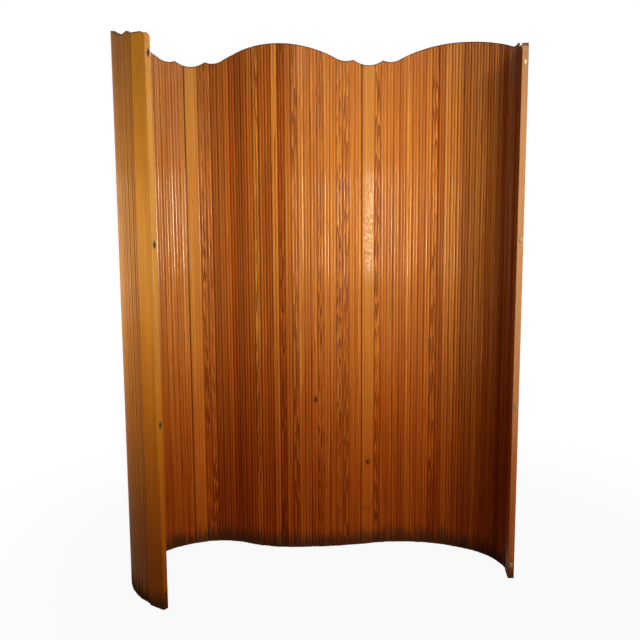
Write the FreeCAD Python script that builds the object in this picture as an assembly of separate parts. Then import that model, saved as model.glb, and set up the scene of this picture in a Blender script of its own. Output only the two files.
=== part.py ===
# Free-standing roller screen: reeded pine slats strung on four steel cables between two end boards.
# Millimetres, +Z up, front towards -Y. The origin is at the foot of the right wide slat.
import FreeCAD
import Part
import math
import os

V = FreeCAD.Vector
UP = V(0, 0, 1)

# Slats: the pitch is the distance between the two hinge lines of a slat
NARROW_PITCH = 25.0
WIDE_PITCH = 54.0
SLATS_IN_PAIR = 2
REEDS_ON_SLAT = 2
CORE_THICKNESS = 10.0
REED_RISE = 2.0

# Bead and cove along the edges, which let neighbours turn about the hinge line between them
BEAD_RADIUS = 3.2
COVE_CLEARANCE = 0.35
SHOULDER_SETBACK = 1.15

# End boards
BOARD_WIDTH = 68.0
BOARD_THICKNESS = 23.0
BOARD_EDGE_RADIUS = 3.0
BOARD_CORNER_RADIUS = 27.0

# Top outline of the flat screen: from the middle of a wide slat, over a dip, a lip and a foot, to an arch
SCREEN_HEIGHT = 2000.0
ARCH_RISE = 64.5
FOOT_RADIUS = 80.0
FOOT_RUN = 29.0
LIP_RISE = 5.5
LIP_REACH = 59.0
DIP_DEPTH = 19.0

# Top outline at the ends: rises are above an end board, and runs go on from its inner edge
BOARD_DROP = 48.0
END_LIP_RISE = 11.0
END_LIP_RUN = 30.0
END_DIP_RISE = 3.5
END_DIP_RUN = 32.0
END_SHOULDER_RISE = 8.5
END_SHOULDER_RUN = 28.0

# Cables and what holds their ends
CABLE_COUNT = 4
CABLE_DIAMETER = 2.0
CABLE_HOLE_CLEARANCE = 0.7
CABLE_BEND_RADIUS = 60.0
CABLE_TAIL = 1.0
LOWEST_CABLE_HEIGHT = 52.0
TOP_CABLE_INSET = 68.0
STOP_DIAMETER = 6.0
STOP_LENGTH = 10.0
STOP_FIT = 0.05
POCKET_CLEARANCE = 1.5
POCKET_DEPTH = 16.0

# Cover plates over the cable ends
PLATE_WIDTH = 14.0
PLATE_LENGTH = 30.0
PLATE_THICKNESS = 1.2
PIN_INSET = 5.0
PIN_DIAMETER = 1.6
PIN_LENGTH = 10.0
PIN_FIT = 0.05
PIN_HEAD_DIAMETER = 3.0
PIN_HEAD_HEIGHT = 0.8

# Rest plan: the turn of the right wide slat, and for each bay (hinges, degrees at each hinge), left to right
ROOT_HEADING = 13.6
LEFT_BAY_ARCS = ((14, -8.8),)
MIDDLE_BAY_ARCS = ((4, -11.8), (4, 6.6), (6, 2.3))
RIGHT_BAY_ARCS = ((4, -5.1), (5, -6.1), (5, -11.3))

# Derived sizes
HALF_CORE = CORE_THICKNESS / 2
HALF_SLAT = HALF_CORE + REED_RISE
HALF_BOARD = BOARD_THICKNESS / 2
COVE_RADIUS = BEAD_RADIUS + COVE_CLEARANCE
PAIR_PITCH = SLATS_IN_PAIR * NARROW_PITCH
BOARD_HEIGHT = SCREEN_HEIGHT - BOARD_DROP
CABLE_HOLE_DIAMETER = CABLE_DIAMETER + 2 * CABLE_HOLE_CLEARANCE
POCKET_DIAMETER = STOP_DIAMETER + 2 * POCKET_CLEARANCE
CABLE_STEP = (BOARD_HEIGHT - TOP_CABLE_INSET - LOWEST_CABLE_HEIGHT) / (CABLE_COUNT - 1)
CABLE_HEIGHTS = [LOWEST_CABLE_HEIGHT + CABLE_STEP * n for n in range(CABLE_COUNT)]


# Links of the chain, from the left end board to the right one

def bay_links(name, arcs):
    pairs = sum(hinges for hinges, turn in arcs) - 1
    return [(f"{name}_bay_slats_{n + 1:02d}", PAIR_PITCH) for n in range(pairs)]


def bay_turns(arcs):
    return [turn for hinges, turn in arcs for hinge in range(hinges)]


LINKS = (
    [("left_end_board", BOARD_WIDTH)]
    + bay_links("left", LEFT_BAY_ARCS)
    + [("left_wide_slat", WIDE_PITCH)]
    + bay_links("middle", MIDDLE_BAY_ARCS)
    + [("right_wide_slat", WIDE_PITCH)]
    + bay_links("right", RIGHT_BAY_ARCS)
    + [("right_end_board", BOARD_WIDTH)]
)
TURNS = bay_turns(LEFT_BAY_ARCS) + bay_turns(MIDDLE_BAY_ARCS) + bay_turns(RIGHT_BAY_ARCS)
NAMES = [name for name, length in LINKS]
LENGTHS = [length for name, length in LINKS]
FLAT_STARTS = [sum(LENGTHS[:n]) for n in range(len(LENGTHS))]
ROOT = NAMES.index("right_wide_slat")


def rest_headings():
    """The direction of each link at rest, in degrees from +X."""
    headings = [0.0]
    for turn in TURNS:
        headings.append(headings[-1] + turn)
    return [ROOT_HEADING + heading - headings[ROOT] for heading in headings]


HEADINGS = rest_headings()


def hinge_points():
    """The plan points where links meet, with the free edges of the end boards first and last."""
    points = [V(0, 0, 0)]
    for length, heading in zip(LENGTHS, HEADINGS):
        along = math.radians(heading)
        points.append(points[-1] + V(length * math.cos(along), length * math.sin(along), 0))
    origin = (points[ROOT] + points[ROOT + 1]) / 2
    return [point - origin for point in points]


POINTS = hinge_points()


def to_rest(shape, link):
    """Moves a shape from a link's own frame, with the link's middle at the origin, to its place at rest."""
    middle = (POINTS[link] + POINTS[link + 1]) / 2
    turn = FreeCAD.Rotation(UP, HEADINGS[link])
    moved = shape.copy()
    moved.Placement = FreeCAD.Placement(middle, turn).multiply(moved.Placement)
    return moved


# Top outline, as arcs given by start, middle and end points (reach, height)

def level_arc(level, run, rise):
    """An arc that starts level at a point and climbs by rise over run."""
    radius = (run ** 2 + rise ** 2) / (2 * rise)
    half = math.asin(run / radius) / 2
    middle = (level[0] + radius * math.sin(half), level[1] + radius * (1 - math.cos(half)))
    return (level, middle, (level[0] + run, level[1] + rise))


def arch_from(start, peak_reach):
    """The arch from a point up to its level peak."""
    arch = level_arc((peak_reach, SCREEN_HEIGHT), start[0] - peak_reach, start[1] - SCREEN_HEIGHT)
    return arch[::-1]


def dip_side(peak_reach):
    """From the middle of a dip, over the lip and the foot of the arch, to the arch's peak."""
    foot = (LIP_REACH + FOOT_RUN, SCREEN_HEIGHT - ARCH_RISE)
    dip = level_arc((0, foot[1] + LIP_RISE - DIP_DEPTH), LIP_REACH, DIP_DEPTH)
    lip = level_arc(foot, -FOOT_RUN, LIP_RISE)
    slope = 2 * math.atan(ARCH_RISE / (peak_reach - foot[0]))
    climb = level_arc(foot, FOOT_RADIUS * math.sin(slope), FOOT_RADIUS * (1 - math.cos(slope)))
    return [dip, lip[::-1], climb, arch_from(climb[-1], peak_reach)]


def end_side(peak_reach):
    """From the inner edge of an end board, over the end lip and dip, to the arch's peak."""
    low = (END_LIP_RUN + END_DIP_RUN, BOARD_HEIGHT + END_DIP_RISE)
    rise = level_arc((0, BOARD_HEIGHT), END_LIP_RUN, END_LIP_RISE)
    lip = level_arc(low, -END_DIP_RUN, END_LIP_RISE - END_DIP_RISE)
    climb = level_arc(low, END_SHOULDER_RUN, END_SHOULDER_RISE - END_DIP_RISE)
    return [rise, lip[::-1], climb, arch_from(climb[-1], peak_reach)]


def laid_out(arcs, origin, sign):
    """The arcs placed along the flat screen, from left to right."""
    placed = [tuple((origin + sign * reach, height) for reach, height in stretch) for stretch in arcs]
    if sign > 0:
        return placed
    return [tuple(reversed(stretch)) for stretch in reversed(placed)]


def crest_arcs():
    first_dip = FLAT_STARTS[NAMES.index("left_wide_slat")] + WIDE_PITCH / 2
    second_dip = FLAT_STARTS[ROOT] + WIDE_PITCH / 2
    left_edge = FLAT_STARTS[1]
    right_edge = FLAT_STARTS[-1]
    left_peak = (first_dip + WIDE_PITCH / 2 - left_edge) / 2
    middle_peak = (second_dip - first_dip) / 2
    right_peak = (right_edge - second_dip + WIDE_PITCH / 2) / 2
    return (
        laid_out(end_side(first_dip - left_edge - left_peak), left_edge, 1)
        + laid_out(dip_side(left_peak), first_dip, -1)
        + laid_out(dip_side(middle_peak), first_dip, 1)
        + laid_out(dip_side(middle_peak), second_dip, -1)
        + laid_out(dip_side(right_peak), second_dip, 1)
        + laid_out(end_side(right_edge - second_dip - right_peak), right_edge, -1)
    )


# The waste above the top outline reaches past the blank slats on every side
WASTE_MARGIN = 10.0
BLANK_HEIGHT = SCREEN_HEIGHT + WASTE_MARGIN / 2


def crest_waste():
    """What is sawn off the flat screen: everything above its top outline."""
    def flat(point):
        return V(point[0], 0, point[1])

    arcs = crest_arcs()
    edges = [Part.Arc(*[flat(point) for point in stretch]).toShape() for stretch in arcs]
    start = flat(arcs[0][0])
    finish = flat(arcs[-1][-1])
    top = V(0, 0, SCREEN_HEIGHT + WASTE_MARGIN)
    corners = [
        finish,
        finish + V(BOARD_WIDTH, 0, 0),
        V(finish.x + BOARD_WIDTH, 0, 0) + top,
        V(start.x - BOARD_WIDTH, 0, 0) + top,
        start - V(BOARD_WIDTH, 0, 0),
        start,
    ]
    edges += [Part.makeLine(a, b) for a, b in zip(corners, corners[1:])]
    depth = BOARD_THICKNESS + CORE_THICKNESS
    face = Part.Face(Part.Wire(Part.__sortEdges__(edges)))
    return face.extrude(V(0, depth, 0)).translated(V(0, -depth / 2, 0))


WASTE = crest_waste()


# Sections, drawn in a link's own frame with the front face towards -Y

def line(start, end):
    return Part.makeLine(V(*start, 0), V(*end, 0))


def arc(start, middle, end):
    return Part.Arc(V(*start, 0), V(*middle, 0), V(*end, 0)).toShape()


def bead_edge(hinge, half):
    """The right edge of a link, from front to back: shoulder, bead on the hinge line, shoulder."""
    shoulder = hinge - SHOULDER_SETBACK
    spread = math.sqrt(BEAD_RADIUS ** 2 - SHOULDER_SETBACK ** 2)
    return [
        line((shoulder, -half), (shoulder, -spread)),
        arc((shoulder, -spread), (hinge + BEAD_RADIUS, 0), (shoulder, spread)),
        line((shoulder, spread), (shoulder, half)),
    ]


def cove_edge(hinge, half):
    """The left edge of a link, from back to front: shoulder, cove round the hinge line, shoulder."""
    shoulder = hinge + SHOULDER_SETBACK
    spread = math.sqrt(COVE_RADIUS ** 2 - SHOULDER_SETBACK ** 2)
    return [
        line((shoulder, half), (shoulder, spread)),
        arc((shoulder, spread), (hinge + COVE_RADIUS, 0), (shoulder, -spread)),
        line((shoulder, -spread), (shoulder, -half)),
    ]


def reeded_face(half_width, side):
    """Reeds side by side over a narrow slat's face, from left to right."""
    step = 2 * half_width / REEDS_ON_SLAT
    edges = []
    for reed in range(REEDS_ON_SLAT):
        left = -half_width + reed * step
        crown = (left + step / 2, side * HALF_SLAT)
        edges.append(arc((left, side * HALF_CORE), crown, (left + step, side * HALF_CORE)))
    return edges


def plain_face(half_width, side):
    """A wide slat's flat face with quarter-round edges, from left to right."""
    inner = half_width - REED_RISE
    eased = REED_RISE * math.sqrt(0.5)
    left = (-inner - eased, side * (HALF_CORE + eased))
    right = (inner + eased, side * (HALF_CORE + eased))
    return [
        arc((-half_width, side * HALF_CORE), left, (-inner, side * HALF_SLAT)),
        line((-inner, side * HALF_SLAT), (inner, side * HALF_SLAT)),
        arc((inner, side * HALF_SLAT), right, (half_width, side * HALF_CORE)),
    ]


def cable_holes(length, diameter):
    """Straight holes through a link along its width, one for each cable."""
    start = -length / 2 - BEAD_RADIUS
    run = length + 2 * BEAD_RADIUS
    return [Part.makeCylinder(diameter / 2, run, V(start, 0, z), V(1, 0, 0)) for z in CABLE_HEIGHTS]


def blank_slat(pitch, face_edges):
    """A slat before its top is shaped, with its cable holes."""
    half_width = pitch / 2 - SHOULDER_SETBACK
    edges = face_edges(half_width, -1) + bead_edge(pitch / 2, HALF_CORE)
    edges += face_edges(half_width, 1) + cove_edge(-pitch / 2, HALF_CORE)
    section = Part.Face(Part.Wire(Part.__sortEdges__(edges)))
    return section.extrude(V(0, 0, BLANK_HEIGHT)).cut(cable_holes(pitch, CABLE_HOLE_DIAMETER))


NARROW_BLANK = blank_slat(NARROW_PITCH, reeded_face)
WIDE_BLANK = blank_slat(WIDE_PITCH, plain_face)


def shaped_slats(blank, pitch, link):
    """The slats of one link, side by side, with their tops sawn to the outline."""
    count = round(LENGTHS[link] / pitch)
    waste = WASTE.translated(V(-FLAT_STARTS[link] - LENGTHS[link] / 2, 0, 0))
    slats = []
    for slat in range(count):
        offset = (slat + 0.5) * pitch - LENGTHS[link] / 2
        slats.append(blank.translated(V(offset, 0, 0)).cut(waste).Solids[0])
    return Part.makeCompound(slats)


# End boards; outward is -1 at the left end and 1 at the right end

def outer_edge(outward):
    """The free edge of an end board, from its front arris to its back arris."""
    edge = outward * BOARD_WIDTH / 2
    inner = edge - outward * BOARD_EDGE_RADIUS
    eased = BOARD_EDGE_RADIUS * (1 - math.sqrt(0.5))
    flat = HALF_BOARD - BOARD_EDGE_RADIUS
    near = edge - outward * eased
    return [
        arc((inner, -HALF_BOARD), (near, eased - HALF_BOARD), (edge, -flat)),
        line((edge, -flat), (edge, flat)),
        arc((edge, flat), (near, HALF_BOARD - eased), (inner, HALF_BOARD)),
    ]


def corner_waste(outward):
    """What is rounded off the free top corner of an end board."""
    radius = BOARD_CORNER_RADIUS
    edge = outward * BOARD_WIDTH / 2
    block = Part.makeBox(2 * radius, BOARD_THICKNESS, 2 * radius)
    axis = V(edge - outward * radius, -HALF_BOARD, BOARD_HEIGHT - radius)
    start = axis if outward > 0 else axis - V(2 * radius, 0, 0)
    rounding = Part.makeCylinder(radius, BOARD_THICKNESS, axis, V(0, 1, 0))
    return block.translated(start).cut(rounding)


def pockets(outward):
    """Counterbores in the free edge, where the cable stops sit."""
    edge = V(outward * BOARD_WIDTH / 2, 0, 0)
    inward = V(-outward, 0, 0)
    radius = POCKET_DIAMETER / 2
    return [Part.makeCylinder(radius, POCKET_DEPTH, edge + UP * z, inward) for z in CABLE_HEIGHTS]


def end_board(outward):
    inner = -outward * (BOARD_WIDTH / 2 - SHOULDER_SETBACK)
    rim = outward * (BOARD_WIDTH / 2 - BOARD_EDGE_RADIUS)
    if outward < 0:
        hinge_edge = bead_edge(BOARD_WIDTH / 2, HALF_BOARD)
    else:
        hinge_edge = cove_edge(-BOARD_WIDTH / 2, HALF_BOARD)
    faces = [line((inner, side * HALF_BOARD), (rim, side * HALF_BOARD)) for side in (-1, 1)]
    edges = Part.__sortEdges__(hinge_edge + faces + outer_edge(outward))
    solid = Part.Face(Part.Wire(edges)).extrude(V(0, 0, BOARD_HEIGHT))
    holes = cable_holes(BOARD_WIDTH, CABLE_HOLE_DIAMETER) + pockets(outward) + pin_holes(outward)
    return solid.cut(holes + [corner_waste(outward)]).Solids[0]


# Cable stops, cover plates and their pins, in the end board's own frame

def cable_stops(outward):
    seat = V(outward * (BOARD_WIDTH / 2 - POCKET_DEPTH), 0, 0)
    along = V(outward, 0, 0)
    stops = []
    for z in CABLE_HEIGHTS:
        body = Part.makeCylinder(STOP_DIAMETER / 2, STOP_LENGTH, seat + UP * z, along)
        bore = Part.makeCylinder(CABLE_DIAMETER / 2 + STOP_FIT, STOP_LENGTH, seat + UP * z, along)
        stops.append(body.cut(bore))
    return Part.makeCompound(stops)


def pin_places():
    reach = PLATE_LENGTH / 2 - PIN_INSET
    return [z + side * reach for z in CABLE_HEIGHTS for side in (-1, 1)]


def pin_holes(outward):
    """Holes for the pins, from the outside of the plates into the board."""
    outside = V(outward * (BOARD_WIDTH / 2 + PLATE_THICKNESS), 0, 0)
    inward = V(-outward, 0, 0)
    radius = PIN_DIAMETER / 2 + PIN_FIT
    return [Part.makeCylinder(radius, PIN_LENGTH, outside + UP * z, inward) for z in pin_places()]


def cover_plates(outward):
    edge = outward * BOARD_WIDTH / 2
    plates = []
    for z in CABLE_HEIGHTS:
        corners = [
            V(edge, 0, z - PLATE_LENGTH / 2),
            V(edge, PLATE_WIDTH / 2, z),
            V(edge, 0, z + PLATE_LENGTH / 2),
            V(edge, -PLATE_WIDTH / 2, z),
        ]
        lozenge = Part.Face(Part.makePolygon(corners + corners[:1]))
        plates.append(lozenge.extrude(V(outward * PLATE_THICKNESS, 0, 0)).cut(pin_holes(outward)))
    return Part.makeCompound(plates)


def plate_pins(outward):
    """Round-headed pins: a shank through the plate and a low domed head on it."""
    outside = outward * (BOARD_WIDTH / 2 + PLATE_THICKNESS)
    inward = V(-outward, 0, 0)
    dome = (PIN_HEAD_DIAMETER ** 2 / 4 + PIN_HEAD_HEIGHT ** 2) / (2 * PIN_HEAD_HEIGHT)
    pins = []
    for z in pin_places():
        seat = V(outside, 0, z)
        shank = Part.makeCylinder(PIN_DIAMETER / 2, PIN_LENGTH, seat, inward)
        ball = Part.makeSphere(dome, seat + inward * (dome - PIN_HEAD_HEIGHT))
        head = ball.common(Part.makeCylinder(PIN_HEAD_DIAMETER / 2, PIN_HEAD_HEIGHT, seat, V(outward, 0, 0)))
        pins.append(shank.fuse(head).removeSplitter().Solids[0])
    return Part.makeCompound(pins)


# Cables: straight in every link, with an arc at every hinge line

def cable_end(link, outward):
    """Where a cable ends, a short tail past its stop."""
    reach = BOARD_WIDTH / 2 - POCKET_DEPTH + STOP_LENGTH + CABLE_TAIL
    along = FreeCAD.Rotation(UP, HEADINGS[link]).multVec(V(outward * reach, 0, 0))
    return (POINTS[link] + POINTS[link + 1]) / 2 + along


def cable_path():
    """The plan of a cable, as edges at height zero."""
    last = len(LINKS) - 1
    finish = cable_end(last, 1)
    edges = []
    here = cable_end(0, -1)
    for hinge in range(1, len(LINKS)):
        corner = POINTS[hinge]
        before = V(corner - POINTS[hinge - 1]).normalize()
        after = V(POINTS[hinge + 1] - corner).normalize()
        half_turn = math.radians(abs(TURNS[hinge - 1])) / 2
        tangent = CABLE_BEND_RADIUS * math.tan(half_turn)
        inset = CABLE_BEND_RADIUS / math.cos(half_turn) - CABLE_BEND_RADIUS
        inside = V(after - before).normalize()
        arrive = corner - before * tangent
        leave = corner + after * tangent
        edges.append(Part.makeLine(here, arrive))
        edges.append(Part.Arc(arrive, corner + inside * inset, leave).toShape())
        here = leave
    edges.append(Part.makeLine(here, finish))
    return Part.Wire(edges)


def cable(path, height):
    lifted = path.translated(UP * height)
    first = lifted.Edges[0]
    start = first.valueAt(first.FirstParameter)
    ring = Part.makeCircle(CABLE_DIAMETER / 2, start, first.tangentAt(first.FirstParameter))
    return lifted.makePipeShell([Part.Wire(ring)], True, False)


# Build every node and write it

def screen_nodes():
    nodes = {}
    for link, name in enumerate(NAMES):
        if name.endswith("wide_slat"):
            nodes[name] = to_rest(shaped_slats(WIDE_BLANK, WIDE_PITCH, link), link)
        elif "slats" in name:
            nodes[name] = to_rest(shaped_slats(NARROW_BLANK, NARROW_PITCH, link), link)
    for side, outward, link in (("left", -1, 0), ("right", 1, len(LINKS) - 1)):
        nodes[f"{side}_end_board"] = to_rest(end_board(outward), link)
        nodes[f"{side}_cable_stops"] = to_rest(cable_stops(outward), link)
        nodes[f"{side}_cover_plates"] = to_rest(cover_plates(outward), link)
        nodes[f"{side}_plate_pins"] = to_rest(plate_pins(outward), link)
    path = cable_path()
    for number, height in enumerate(CABLE_HEIGHTS):
        nodes[f"cable_{number + 1}"] = cable(path, height)
    return nodes


os.makedirs("parts", exist_ok=True)
for node, shape in screen_nodes().items():
    shape.exportStep(f"parts/{node}.step")
    print(node, len(shape.Solids), "solids", shape.isValid(), round(shape.Volume))
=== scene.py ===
# Looks of the wooden roller screen: varnished pine slats and end boards, brass plates, steel cables.
# Metres, +Z up, front towards -Y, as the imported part.
import math
import random

import bmesh
import bpy
from mathutils import Matrix, Vector


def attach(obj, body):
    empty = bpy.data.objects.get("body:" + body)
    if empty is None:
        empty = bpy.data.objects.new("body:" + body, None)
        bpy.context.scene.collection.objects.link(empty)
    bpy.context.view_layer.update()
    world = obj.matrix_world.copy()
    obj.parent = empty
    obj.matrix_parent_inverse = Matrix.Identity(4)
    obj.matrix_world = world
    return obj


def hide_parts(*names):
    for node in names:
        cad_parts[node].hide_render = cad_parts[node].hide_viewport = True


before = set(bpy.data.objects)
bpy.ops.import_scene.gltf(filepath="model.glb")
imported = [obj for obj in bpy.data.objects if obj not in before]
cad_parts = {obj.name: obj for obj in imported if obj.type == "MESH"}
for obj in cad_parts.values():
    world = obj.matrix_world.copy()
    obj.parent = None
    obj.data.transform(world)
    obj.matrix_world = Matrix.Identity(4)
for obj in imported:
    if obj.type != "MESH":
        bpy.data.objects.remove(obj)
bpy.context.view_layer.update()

# Slats
NARROW_PITCH = 0.025
WIDE_PITCH = 0.054
SLATS_IN_PAIR = 2
PAIR_PITCH = SLATS_IN_PAIR * NARROW_PITCH
REEDS_ON_SLAT = 2
HALF_CORE = 0.005
REED_RISE = 0.002
BEAD_RADIUS = 0.0032
COVE_RADIUS = 0.00355
SHOULDER_SETBACK = 0.00115

# End boards
BOARD_WIDTH = 0.068
HALF_BOARD = 0.0115
BOARD_EDGE_RADIUS = 0.003
BOARD_CORNER_RADIUS = 0.027
BOARD_HEIGHT = 1.952

# Top outline, from the middle of a wide slat and from the inner edge of an end board
SCREEN_HEIGHT = 2.0
ARCH_RISE = 0.0645
FOOT_RADIUS = 0.080
FOOT_RUN = 0.029
LIP_RISE = 0.0055
LIP_REACH = 0.059
DIP_DEPTH = 0.019
END_LIP_RISE = 0.011
END_LIP_RUN = 0.030
END_DIP_RISE = 0.0035
END_DIP_RUN = 0.032
END_SHOULDER_RISE = 0.0085
END_SHOULDER_RUN = 0.028

# Cables and cover plates
CABLES = 4
CABLE_RADIUS = 0.001
CABLE_ABOVE_FOOT = 0.052
CABLE_BELOW_TOP = 0.068
CABLE_SPAN = BOARD_HEIGHT - CABLE_BELOW_TOP - CABLE_ABOVE_FOOT
CABLE_HEIGHTS = [CABLE_ABOVE_FOOT + CABLE_SPAN * n / (CABLES - 1) for n in range(CABLES)]
CABLE_END_INSET = 0.005
PLATE_WIDTH = 0.014
PLATE_LENGTH = 0.030
PLATE_THICKNESS = 0.0012
PLATE_CORNERS = 4
PLATE_EASE = 0.0005

# Rest plan, left to right: for each bay (hinges, degrees at each hinge)
ROOT_HEADING = 13.6
BAY_ARCS = {
    "left": ((14, -8.8),),
    "middle": ((4, -11.8), (4, 6.6), (6, 2.3)),
    "right": ((4, -5.1), (5, -6.1), (5, -11.3)),
}

# Fineness of the meshes
REED_STEPS = 10
BEAD_STEPS = 12
COVE_STEPS = 6
CORNER_STEPS = 6
ROUND_STEPS = 10
FLAT_STEPS = 12
CABLE_SIDES = 10
PLATE_EASE_STEPS = 2
SHARP = math.radians(35)

# Sawn ends are eased, feet are worn, and slats stand a little forward and out of square
ARRIS = 0.0006
FOOT_WEAR = 0.0014
STEP_FORWARD = (0.00006, 0.00018)
OUT_OF_SQUARE = math.radians(0.25)

# Where the free edge of an end board begins, from the board's middle
EDGE_REACH = BOARD_WIDTH / 2 - BOARD_EDGE_RADIUS - ARRIS


# Links of the chain, from the left end board to the right one

def bay_links(bay):
    pairs = sum(hinges for hinges, turn in BAY_ARCS[bay]) - 1
    return [(f"{bay}_bay_slats_{n + 1:02d}", PAIR_PITCH) for n in range(pairs)]


LINKS = (
    [("left_end_board", BOARD_WIDTH)]
    + bay_links("left")
    + [("left_wide_slat", WIDE_PITCH)]
    + bay_links("middle")
    + [("right_wide_slat", WIDE_PITCH)]
    + bay_links("right")
    + [("right_end_board", BOARD_WIDTH)]
)
NODES = [node for node, length in LINKS]
LENGTHS = [length for node, length in LINKS]
STARTS = [sum(LENGTHS[:n]) for n in range(len(LENGTHS))]
LEFT_WIDE = NODES.index("left_wide_slat")
ROOT = NODES.index("right_wide_slat")
FIRST = 0
LAST = len(LINKS) - 1


def rest_places():
    """For each link, the matrix from its own frame, with its middle at the origin, to its place at rest."""
    turns = [turn for arcs in BAY_ARCS.values() for hinges, turn in arcs for hinge in range(hinges)]
    headings = [ROOT_HEADING - sum(turns[:ROOT])]
    for turn in turns:
        headings.append(headings[-1] + turn)
    here = Vector((0, 0, 0))
    places = []
    for length, heading in zip(LENGTHS, headings):
        rotation = Matrix.Rotation(math.radians(heading), 4, "Z")
        half = rotation @ Vector((length / 2, 0, 0))
        places.append(Matrix.Translation(here + half) @ rotation)
        here = here + 2 * half
    origin = Matrix.Translation(-places[ROOT].translation)
    return [origin @ place for place in places]


PLACES = rest_places()


# Top outline of the flat screen

def arc_climb(run, rise, along):
    """How far an arc has climbed that starts level and climbs by rise over run."""
    radius = (run ** 2 + rise ** 2) / (2 * rise)
    return radius - math.sqrt(radius ** 2 - along ** 2)


def dip_side(reach, peak):
    """Height at a reach from the middle of a dip, whose arch peaks at another reach."""
    foot_reach = LIP_REACH + FOOT_RUN
    foot = SCREEN_HEIGHT - ARCH_RISE
    if reach < LIP_REACH:
        return foot + LIP_RISE - DIP_DEPTH + arc_climb(LIP_REACH, DIP_DEPTH, reach)
    if reach < foot_reach:
        return foot + arc_climb(FOOT_RUN, LIP_RISE, foot_reach - reach)
    slope = 2 * math.atan(ARCH_RISE / (peak - foot_reach))
    climb_run = FOOT_RADIUS * math.sin(slope)
    climb_rise = FOOT_RADIUS * (1 - math.cos(slope))
    if reach < foot_reach + climb_run:
        return foot + arc_climb(climb_run, climb_rise, reach - foot_reach)
    return SCREEN_HEIGHT - arc_climb(peak - foot_reach - climb_run, ARCH_RISE - climb_rise, peak - reach)


def end_side(reach, peak):
    """Height at a reach from the inner edge of an end board, whose arch peaks at another reach."""
    low_reach = END_LIP_RUN + END_DIP_RUN
    low = BOARD_HEIGHT + END_DIP_RISE
    if reach < END_LIP_RUN:
        return BOARD_HEIGHT + arc_climb(END_LIP_RUN, END_LIP_RISE, max(reach, 0))
    if reach < low_reach:
        return low + arc_climb(END_DIP_RUN, END_LIP_RISE - END_DIP_RISE, low_reach - reach)
    shoulder_reach = low_reach + END_SHOULDER_RUN
    if reach < shoulder_reach:
        return low + arc_climb(END_SHOULDER_RUN, END_SHOULDER_RISE - END_DIP_RISE, reach - low_reach)
    drop = SCREEN_HEIGHT - BOARD_HEIGHT - END_SHOULDER_RISE
    return SCREEN_HEIGHT - arc_climb(peak - shoulder_reach, drop, peak - reach)


DIPS = [STARTS[link] + WIDE_PITCH / 2 for link in (LEFT_WIDE, ROOT)]
LEFT_EDGE = STARTS[1]
RIGHT_EDGE = STARTS[LAST]
MIDDLE_PEAK = (DIPS[1] - DIPS[0]) / 2
LEFT_PEAK = (DIPS[0] + WIDE_PITCH / 2 - LEFT_EDGE) / 2
RIGHT_PEAK = (RIGHT_EDGE - DIPS[1] + WIDE_PITCH / 2) / 2


def crest(along):
    """Height of the top outline at a place along the flat screen."""
    if along < DIPS[0] - LEFT_PEAK:
        return end_side(along - LEFT_EDGE, DIPS[0] - LEFT_PEAK - LEFT_EDGE)
    if along < DIPS[0]:
        return dip_side(DIPS[0] - along, LEFT_PEAK)
    if along < DIPS[0] + MIDDLE_PEAK:
        return dip_side(along - DIPS[0], MIDDLE_PEAK)
    if along < DIPS[1]:
        return dip_side(DIPS[1] - along, MIDDLE_PEAK)
    if along < DIPS[1] + RIGHT_PEAK:
        return dip_side(along - DIPS[1], RIGHT_PEAK)
    return end_side(RIGHT_EDGE - along, RIGHT_EDGE - DIPS[1] - RIGHT_PEAK)


# Finishes: expressions on wires add nodes to a tree

class Wire:
    """A socket of a node tree. Arithmetic on it adds Math nodes."""

    def __init__(self, tree, socket):
        self.tree = tree
        self.socket = socket

    def __add__(self, other):
        return self.tree.math("ADD", self, other)

    def __sub__(self, other):
        return self.tree.math("SUBTRACT", self, other)

    def __rsub__(self, other):
        return self.tree.math("SUBTRACT", other, self)

    def __mul__(self, other):
        return self.tree.math("MULTIPLY", self, other)

    def __truediv__(self, other):
        return self.tree.math("DIVIDE", self, other)

    def __pow__(self, other):
        return self.tree.math("POWER", self, other)

    __radd__ = __add__
    __rmul__ = __mul__


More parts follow.
